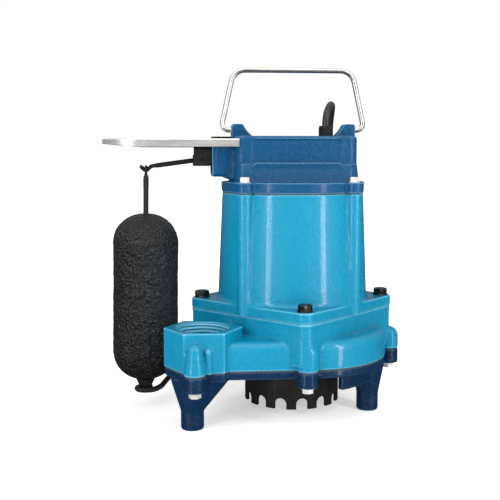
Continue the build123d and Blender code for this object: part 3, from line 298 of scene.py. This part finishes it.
def float_skin():
    """Leathery black skin of the float: pebbles with shiny crowns and dull hollows; painted shade darkens
    the hollows and fine specks carry painted glints.
    """
    s = Shade("float_skin", {"Specular IOR Level": 0.5})
    pebbles = s.cells(420.0, "SMOOTH_F1")
    fine = s.noise(1300.0, 3.0, 0.6)
    creases = s.ramp(s.noise(160.0, 5.0, 0.65), [(0.42, 0.0), (0.6, 1.0)])
    # Painted shade: the pebbles' hollows are darker than their crowns.
    tint = s.ramp(pebbles, [(0.1, (0.015, 0.015, 0.016)), (0.6, (0.003, 0.003, 0.004))])
    # Painted glints: fine specks are lightened toward grey.
    tint = s.mix(s.span(s.ramp(fine, [(0.6, 0.0), (0.7, 1.0)]), 0.0, 0.4), tint, (0.1, 0.1, 0.1))
    s.bumps((creases, 0.0008), (pebbles, -0.0016), (fine, 0.0004))
    return s.wire(Base_Color=tint, Roughness=s.span(pebbles, 0.13, 0.45, 0.1, 0.6))


# How deep the drawn lines of polished steel are, in metres.
POLISH_DEPTH = 0.000003
MATERIALS = {
    # In each cast paint, the second colour is the painted edge highlight and the third is the painted
    # corner shade, which also tints the pits.
    "casing_paint": cast_paint("casing_paint", (0.0, 0.245, 0.415), (0.3, 0.78, 0.95), (0.0, 0.045, 0.11)),
    "cap_paint": cast_paint("cap_paint", (0.0, 0.068, 0.175), (0.22, 0.58, 0.85), (0.0, 0.012, 0.04),
                            coat=0.2),
    "base_paint": cast_paint("base_paint", (0.001, 0.022, 0.068), (0.05, 0.13, 0.24), (0.0, 0.005, 0.018),
                             coat=0.25),
    "black_moulding": moulding("black_moulding", (0.011, 0.011, 0.012)),
    "float_skin": float_skin(),
    "dark_steel": metal("dark_steel", (0.07, 0.065, 0.06), 0.26, stain=(0.02, 0.018, 0.017), depth=0.00006),
    "bright_steel": metal("bright_steel", (0.95, 0.93, 0.9), 0.4, stain=(0.8, 0.78, 0.74), metallic=0.45),
    "stainless": metal("stainless", (0.84, 0.81, 0.78), 0.33, (0.05, 1.0, 0.05), (0.74, 0.71, 0.68),
                       POLISH_DEPTH),
    "sheet_steel": metal("sheet_steel", (0.88, 0.87, 0.85), 0.3, (0.03, 0.2, 0.2), (0.82, 0.81, 0.79),
                         POLISH_DEPTH, 0.8),
    "pin_steel": metal("pin_steel", (0.03, 0.03, 0.032), 0.4),
    "cord_rubber": moulding("cord_rubber", (0.012, 0.012, 0.012), 0.38, 900.0, 0.00008, 0.5),
    "seal_rubber": moulding("seal_rubber", (0.012, 0.012, 0.012), 0.6),
    "plug_moulding": moulding("plug_moulding", (0.013, 0.013, 0.014), 0.42),
    "blade_brass": metal("blade_brass", (0.75, 0.56, 0.26), 0.25),
    "gasket": moulding("gasket", (0.07, 0.062, 0.05), 0.8),
    "laminations": stacked("laminations", (0.34, 0.34, 0.36)),
    "copper": wound("copper", (0.62, 0.26, 0.1)),
    "bronze": metal("bronze", (0.62, 0.4, 0.18), 0.3),
    "bracket_iron": metal("bracket_iron", (0.3, 0.3, 0.31), 0.45, depth=0.0001),
    "cast_aluminium": metal("cast_aluminium", (0.7, 0.7, 0.72), 0.4, depth=0.0001),
    "bearing_steel": metal("bearing_steel", (0.78, 0.78, 0.79), 0.12),
    "ceramic": moulding("ceramic", (0.6, 0.58, 0.52), 0.25),
    "impeller_plastic": moulding("impeller_plastic", (0.03, 0.03, 0.033), 0.5),
    "capacitor_case": moulding("capacitor_case", (0.03, 0.03, 0.034), 0.35),
}
for part in frame["record"]["subparts"]:
    mesh = frame["nodes"][part["node"]].data
    mesh.materials.clear()
    mesh.materials.append(MATERIALS[part["material_slot"]])
mains_cord.data.materials.append(MATERIALS["cord_rubber"])
for node, finish in {"float_guard": "sheet_steel", "lever_pin": "pin_steel"}.items():
    frame["nodes"][node].data.materials[0] = MATERIALS[finish]


# ---- making pieces ----
def piece(name, bm, slot, body, replaced=(), sharp=35.0):
    """A finished piece from a bmesh, smooth but for edges sharper than an angle."""
    bmesh.ops.recalc_face_normals(bm, faces=bm.faces)
    limit = math.radians(sharp)
    for face in bm.faces:
        face.smooth = True
    for edge in bm.edges:
        edge.smooth = len(edge.link_faces) != 2 or edge.calc_face_angle(0.0) < limit
    mesh = bpy.data.meshes.new(name)
    bm.to_mesh(mesh)
    bm.free()
    mesh.materials.append(MATERIALS[slot])
    made = bpy.data.objects.new(name, mesh)
    bpy.context.scene.collection.objects.link(made)
    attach(made, body)
    if replaced:
        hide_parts(*replaced)
    return made


def rings_to_faces(bm, rings, close_ends=True):
    """Skin a list of equal rings of vertices."""
    count = len(rings[0])
    for low, high in zip(rings, rings[1:]):
        for i in range(count):
            j = (i + 1) % count
            bm.faces.new((low[i], low[j], high[j], high[i]))
    if close_ends:
        bm.faces.new(rings[0][::-1])
        bm.faces.new(rings[-1])


def hex_reach(flats, angle):
    """The distance from a hexagon's centre to its side."""
    turn = math.radians(60)
    return flats / 2 / math.cos((angle % turn) - turn / 2)


def turned(bm, centre, profile, flats=0.0, spin=0.0, segments=72, down=False):
    """Turn a profile of (radius, height, is hexagonal) rows about an upright axis."""
    x, y, z = centre
    rings = []
    for radius, height, hexagonal in profile:
        ring = []
        for i in range(segments):
            angle = 2 * math.pi * i / segments
            reach = min(radius, hex_reach(flats, angle)) if hexagonal else radius
            step = -height if down else height
            ring.append(bm.verts.new(at(
                x + reach * math.cos(angle + spin), y + reach * math.sin(angle + spin), z + step)))
        rings.append(ring)
    rings_to_faces(bm, rings)


def rounded_copy(name, node, slot, voxel, steps):
    """A casting from its CAD node: every edge rounded and every face very slightly uneven."""
    made = bpy.data.objects.new(name, frame["nodes"][node].data.copy())
    bpy.context.scene.collection.objects.link(made)
    bm = bmesh.new()
    bm.from_mesh(made.data)
    bmesh.ops.remove_doubles(bm, verts=bm.verts, dist=1e-6)
    bm.to_mesh(made.data)
    bm.free()
    grid = made.modifiers.new("grid", "REMESH")
    grid.mode = "VOXEL"
    grid.voxel_size = voxel / 1000
    grid.use_smooth_shade = True
    soft = made.modifiers.new("soft", "SMOOTH")
    soft.factor = 0.5
    soft.iterations = steps
    graph = bpy.context.evaluated_depsgraph_get()
    mesh = bpy.data.meshes.new_from_object(made.evaluated_get(graph))
    made.modifiers.clear()
    made.data = mesh
    mesh.materials.clear()
    mesh.materials.append(MATERIALS[slot])
    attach(made, "casing")
    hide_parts(node)
    return made


def eased_edges(node, width):
    """Round the edges of a CAD node that stays, with modifiers only."""
    target = frame["nodes"][node]
    weld = target.modifiers.new("weld", "WELD")
    weld.merge_threshold = 1e-6
    bevel = target.modifiers.new("bevel", "BEVEL")
    bevel.width = width / 1000
    bevel.segments = 3
    bevel.limit_method = "ANGLE"
    bevel.angle_limit = math.radians(35)
    bevel.harden_normals = True


# ---- castings ----
rounded_copy("housing_casting", "motor_housing", "casing_paint", 0.9, 4)
volute = rounded_copy("volute_casting", "volute_casing", "casing_paint", 0.9, 4)
rounded_copy("base_casting", "base_plate", "base_paint", 0.9, 4)
rounded_copy("cap_casting", "top_cap", "cap_paint", 0.7, 3)

# ---- outlet thread ----
OUTLET = (-89.6, -62.0)
THREAD_PITCH = 3.1
THREAD_LOW = 69.0
THREAD_TURNS = 6.6
THREAD_STEPS = 90
THREAD_FLANK = 1.5
THREAD_FLAT = 0.35
CREST_R = 23.1
ROOT_R = 24.7
# The bore's wall lies between these radii and heights. The thread runs in over the last of it.
WALL_NEAR = 21.0
WALL_FAR = 24.3
WALL_LOW = 58.0
WALL_HIGH = 90.4
RUN_IN = 2.5


def widen_bore():
    """Sink the outlet's wall to the depth of the thread."""
    centre = at(*OUTLET, 0.0)
    for vertex in volute.data.vertices:
        arm = Vector((vertex.co.x - centre.x, vertex.co.y - centre.y, 0.0))
        reach = arm.length * 1000
        height = vertex.co.z * 1000
        if WALL_NEAR < reach < WALL_FAR and WALL_LOW < height < WALL_HIGH:
            push = (ROOT_R - CREST_R) * eased(min(1.0, max(0.0, (WALL_HIGH - height) / RUN_IN)))
            vertex.co += arm.normalized() * push / 1000


def outlet_thread():
    """The ridge of the thread, wound up the outlet's wall."""
    bm = bmesh.new()
    foot = ROOT_R + 0.4
    rings = []
    for i in range(int(THREAD_STEPS * THREAD_TURNS)):
        angle = 2 * math.pi * i / THREAD_STEPS
        height = THREAD_LOW + THREAD_PITCH * i / THREAD_STEPS
        fade = min(1.0, (THREAD_STEPS * THREAD_TURNS - i) / THREAD_STEPS * 2.0, 0.2 + i / THREAD_STEPS)
        crest = ROOT_R - (ROOT_R - CREST_R) * fade
        ring = []
        for radius, rise in (
                (foot, -THREAD_FLANK), (crest, -THREAD_FLAT), (crest, THREAD_FLAT), (foot, THREAD_FLANK)):
            ring.append(bm.verts.new(at(
                OUTLET[0] + radius * math.cos(angle), OUTLET[1] + radius * math.sin(angle), height + rise)))
        rings.append(ring)
    rings_to_faces(bm, rings)
    return piece("outlet_thread", bm, "casing_paint", "casing", sharp=60.0)


widen_bore()
outlet_thread()


# ---- screws ----
def screw_heads(name, node, slot, places, profile, flats, down=False):
    """A set of screws, each turned to its own angle."""
    bm = bmesh.new()
    for place in places:
        turned(bm, place, profile, flats, random.uniform(0, math.pi), down=down)
    return piece(name, bm, slot, "casing", (node,), sharp=28.0)


FLANGE_TOP = 108.7
CAP_FLANGE_TOP = 221.5
BOSSES = ((-98.0, -96.5), (3.0, -88.5), (98.0, 0.0), (26.0, 86.0), (-70.0, 55.0))
BOSS_FACE = 40.0
COLUMN_AT = 50.7
LUG_AT = 88.8
lug_places = [(LUG_AT * x, LUG_AT * y, FLANGE_TOP) for x, y in ((1, 0), (0, 1), (-1, 0), (0, -1))]
screw_heads("flange_bolt_set", "flange_bolts", "dark_steel", lug_places, (
    (3.9, -17.0, False), (3.9, 0.05, False), (7.3, 0.05, False), (7.4, 0.8, False), (7.0, 1.3, False),
    (6.7, 1.35, True), (7.4, 1.9, True), (7.4, 5.3, True), (6.9, 6.1, True), (6.2, 6.45, True),
    (4.6, 6.5, False), (4.0, 5.9, False), (1.5, 5.8, False)), 12.7)
column_places = [(COLUMN_AT * x, COLUMN_AT * y, CAP_FLANGE_TOP) for x in (-1, 1) for y in (-1, 1)]
screw_heads("cap_screw_set", "cap_screws", "bright_steel", column_places, (
    (2.4, -21.0, False), (2.4, 0.05, False), (5.0, 0.05, False), (5.1, 0.6, False), (4.7, 1.0, False),
    (4.3, 1.05, True), (4.6, 1.4, True), (4.6, 4.2, True), (4.2, 4.8, True), (3.6, 5.0, True),
    (2.6, 5.0, False), (2.2, 4.5, False), (0.8, 4.4, False)), 7.9)
boss_places = [(x, y, BOSS_FACE - (2.4 if (x, y) == BOSSES[-1] else 0.0)) for x, y in BOSSES]
screw_heads("base_screw_set", "base_screws", "bright_steel", boss_places, (
    (3.2, -25.0, False), (3.2, 0.05, False), (6.4, 0.05, False), (6.5, 0.7, False), (6.1, 1.15, False),
    (5.3, 1.2, True), (5.6, 1.6, True), (5.6, 4.5, True), (5.2, 5.0, True), (4.5, 5.2, True),
    (3.0, 5.2, False), (2.6, 4.7, False), (1.0, 4.6, False)), 9.5, down=True)


# ---- bail ----
BAIL_R = 2.5
BAIL_CORNERS = (
    (-51.5, 270.8, 0.0), (-70.0, 270.8, 6.5), (-57.3, 327.7, 14.0), (57.3, 327.7, 14.0), (70.0, 270.8, 6.5),
    (51.5, 270.8, 0.0),
)


def arc_points(before, here, after, radius, steps=14):
    """The points of an arc that rounds a corner between two runs."""
    to_before = (before - here).normalized()
    to_after = (after - here).normalized()
    half = to_before.angle(to_after) / 2
    centre = here + (to_before + to_after).normalized() * radius / math.sin(half)
    start = (here + to_before * radius / math.tan(half) - centre).normalized()
    finish = (here + to_after * radius / math.tan(half) - centre).normalized()
    return [centre + radius * start.slerp(finish, i / steps) for i in range(steps + 1)]


def bail_wire():
    """The bail as one smooth round bar, bent at its four corners."""
    spots = [Vector((x, 0.0, z)) for x, z, _ in BAIL_CORNERS]
    path = [spots[0]]
    for before, here, after, corner in zip(spots, spots[1:], spots[2:], BAIL_CORNERS[1:]):
        path += arc_points(before, here, after, corner[2])
    path.append(spots[-1])
    bm = bmesh.new()
    across = Vector((0.0, 1.0, 0.0))
    count = 28
    rings = []
    for i, spot in enumerate(path):
        run = (path[min(i + 1, len(path) - 1)] - path[max(i - 1, 0)]).normalized()
        side = Vector((-run.z, 0.0, run.x))
        ring = []
        for k in range(count):
            angle = 2 * math.pi * k / count
            arm = math.cos(angle) * side + math.sin(angle) * across
            ring.append(bm.verts.new(at(*(spot + BAIL_R * arm))))
        rings.append(ring)
    rings_to_faces(bm, rings)
    return piece("bail_bar", bm, "stainless", "bail", ("carry_bail",), sharp=50.0)


bail_wire()


# ---- float ----
SADDLE_X = -141.9
SADDLE = at(SADDLE_X, 0.0, 232.6)
LEAN_ANGLE = math.radians(0.9)
LEAN = Matrix.Translation(SADDLE) @ Matrix.Rotation(LEAN_ANGLE, 4, "Y") @ Matrix.Translation(-SADDLE)
FLOAT_R = 31.8
FLOAT_LOW = 28.5
FLOAT_TOP = 190.7
FLOAT_ROUND = 28.0
# Lumps of the skin, as (depth, size), in millimetres.
LUMPS = ((0.5, 14), (0.35, 4.5), (0.25, 1.9))


def float_profile():
    """Rows of (radius, height) over the float, from its lower end to its upper one."""
    flat = FLOAT_R - FLOAT_ROUND
    arc = 34
    rows = [(flat * i / 4, FLOAT_LOW) for i in range(1, 4)]
    for i in range(arc + 1):
        angle = math.pi / 2 * i / arc
        rows.append((flat + FLOAT_ROUND * math.sin(angle), FLOAT_LOW + FLOAT_ROUND * (1 - math.cos(angle))))
    straight = 96
    low, high = FLOAT_LOW + FLOAT_ROUND, FLOAT_TOP - FLOAT_ROUND
    rows += [(FLOAT_R, low + (high - low) * i / straight) for i in range(1, straight)]
    upper = [(radius, FLOAT_LOW + FLOAT_TOP - height) for radius, height in rows[::-1] if height <= low]
    return rows + upper


def rough_float():
    """The float, with the uneven skin of its coating in the mesh."""
    bm = bmesh.new()
    segments = 180
    rings = []
    for radius, height in float_profile():
        ring = []
        for i in range(segments):
            angle = 2 * math.pi * i / segments
            out = Vector((math.cos(angle), math.sin(angle), 0.0))
            spot = Vector((radius * out.x, radius * out.y, height))
            lump = sum(depth * noise.noise(spot / size) for depth, size in LUMPS)
            reach = radius + min(0.0, lump - 0.45) if radius > 8 else radius
            ring.append(bm.verts.new(LEAN @ at(SADDLE_X + reach * out.x, reach * out.y, height)))
        rings.append(ring)
    rings_to_faces(bm, rings)
    return piece("float_shell", bm, "float_skin", "float", ("float_body",), sharp=80.0)


rough_float()


# ---- plug ----
PLUG_FROM = TAIL_POINTS[-1]


def plug_ring(bm, distance, half_wide, half_thick, power=2.0, count=40):
    """One cross-section of the plug, between an ellipse and a rounded box."""
    ring = []
    for i in range(count):
        angle = 2 * math.pi * i / count
        c, s = math.cos(angle), math.sin(angle)
        y = math.copysign(abs(c) ** (2 / power), c) * half_wide
        z = math.copysign(abs(s) ** (2 / power), s) * half_thick
        ring.append(bm.verts.new(at(PLUG_FROM[0] - distance, PLUG_FROM[1] + y, PLUG_FROM[2] + z)))
    return ring


def plug():
    """Moulded plug: ribbed cord sleeve, waisted grip and a flat face."""
    bm = bmesh.new()
    rings = [plug_ring(bm, 0.0, 3.9, 3.9), plug_ring(bm, 0.4, 4.7, 4.7)]
    for rib in range(4):
        start = 1.5 + 3.6 * rib
        grow = 0.45 * rib
        rings += [plug_ring(bm, start + step, 4.7 + grow + up, 4.7 + grow + up)
                  for step, up in ((0.0, 0.0), (0.5, 0.5), (1.7, 0.6), (2.2, 0.0))]
    rows = ((17.0, 9.0, 7.0, 2.6), (18.5, 11.2, 8.0, 3.2), (23.0, 11.8, 8.3, 3.6), (30.0, 10.6, 7.8, 3.6),
            (38.0, 11.6, 8.3, 3.8), (44.5, 11.9, 8.45, 4.0), (45.7, 11.4, 8.0, 4.0), (46.0, 10.8, 7.4, 4.0))
    rings += [plug_ring(bm, *row) for row in rows]
    rings_to_faces(bm, rings)
    return piece("plug_moulded", bm, "plug_moulding", "casing", ("plug_body",), sharp=50.0)


plug()

# ---- edges of the parts that stay ----
for node, width in {
    "suction_strainer": 0.5, "switch_housing": 0.7, "guard_clamp": 0.3, "cord_gland_nut": 0.5,
    "float_collar": 0.5, "plug_blades": 0.3, "coil_ties": 0.25,
}.items():
    eased_edges(node, width)


# ---- floor, world and lights ----
def studio_floor():
    """A large pale floor, which polished metal doesn't mirror."""
    bpy.ops.mesh.primitive_plane_add(size=12.0, location=(0, 0, 0))
    floor = bpy.context.object
    floor.name = "floor"
    s = Shade("floor_paper", {"Roughness": 0.9, "Specular IOR Level": 0.0,
                              "Emission Color": (1.0, 1.0, 1.0, 1.0)})
    away = s.node("ShaderNodeVectorMath", {0: s.place}, operation="LENGTH").outputs["Value"]
    s.wire(Base_Color=s.ramp(s.noise(400.0), [(0.3, 0.9), (0.7, 0.92)]),
           Emission_Strength=s.span(away, 0.5, 1.0, 0.25, 0.9))
    floor.data.materials.append(s.material)
    floor.visible_glossy = False


def studio_world():
    """White to the camera; dim below and soft above for what the object reflects."""
    world = bpy.data.worlds.new("studio")
    bpy.context.scene.world = world
    world.use_nodes = True
    tree = world.node_tree
    tree.nodes.clear()
    links = tree.links.new
    place = tree.nodes.new("ShaderNodeTexCoord")
    split = tree.nodes.new("ShaderNodeSeparateXYZ")
    links(place.outputs["Generated"], split.inputs[0])
    height = tree.nodes.new("ShaderNodeMapRange")
    height.inputs[1].default_value = -1.0
    links(split.outputs["Z"], height.inputs[0])
    sky = tree.nodes.new("ShaderNodeValToRGB")
    links(height.outputs[0], sky.inputs[0])
    stops = ((0.0, 0.03), (0.44, 0.04), (0.5, 0.1), (0.62, 0.26), (1.0, 0.85))
    while len(sky.color_ramp.elements) < len(stops):
        sky.color_ramp.elements.new(0.5)
    for element, (spot, grey) in zip(sky.color_ramp.elements, stops):
        element.position = spot
        element.color = (grey, grey, grey, 1.0)
    lit = tree.nodes.new("ShaderNodeBackground")
    links(sky.outputs[0], lit.inputs[0])
    white = tree.nodes.new("ShaderNodeBackground")
    white.inputs[0].default_value = (1.0, 1.0, 1.0, 1.0)
    white.inputs[1].default_value = 1.05
    ray = tree.nodes.new("ShaderNodeLightPath")
    pick = tree.nodes.new("ShaderNodeMixShader")
    links(ray.outputs["Is Camera Ray"], pick.inputs[0])
    links(lit.outputs[0], pick.inputs[1])
    links(white.outputs[0], pick.inputs[2])
    out = tree.nodes.new("ShaderNodeOutputWorld")
    links(pick.outputs[0], out.inputs[0])


def softbox(name, azimuth, distance, height, width, tall, power, tilt=0.0):
    """An upright soft light that faces the barrel; azimuth 0 is in front and positive to the right."""
    light = bpy.data.lights.new(name, "AREA")
    light.shape = "RECTANGLE"
    light.size = width
    light.size_y = tall
    light.energy = power
    lamp = bpy.data.objects.new(name, light)
    bpy.context.scene.collection.objects.link(lamp)
    turn = math.radians(azimuth)
    lamp.location = AXIS + Vector((math.sin(turn) * distance, -math.cos(turn) * distance, 0.0))
    lamp.location.z = height
    lamp.rotation_euler = (math.radians(90 - tilt), 0.0, turn)
    return lamp


studio_floor()
studio_world()
softbox("left_strip", -44.0, 1.15, 0.45, 0.08, 1.5, 9.0)
softbox("right_strip", 41.0, 1.15, 0.45, 0.09, 1.5, 10.0)
softbox("overhead", -10.0, 0.5, 1.35, 1.1, 0.7, 5.0, tilt=70.0)
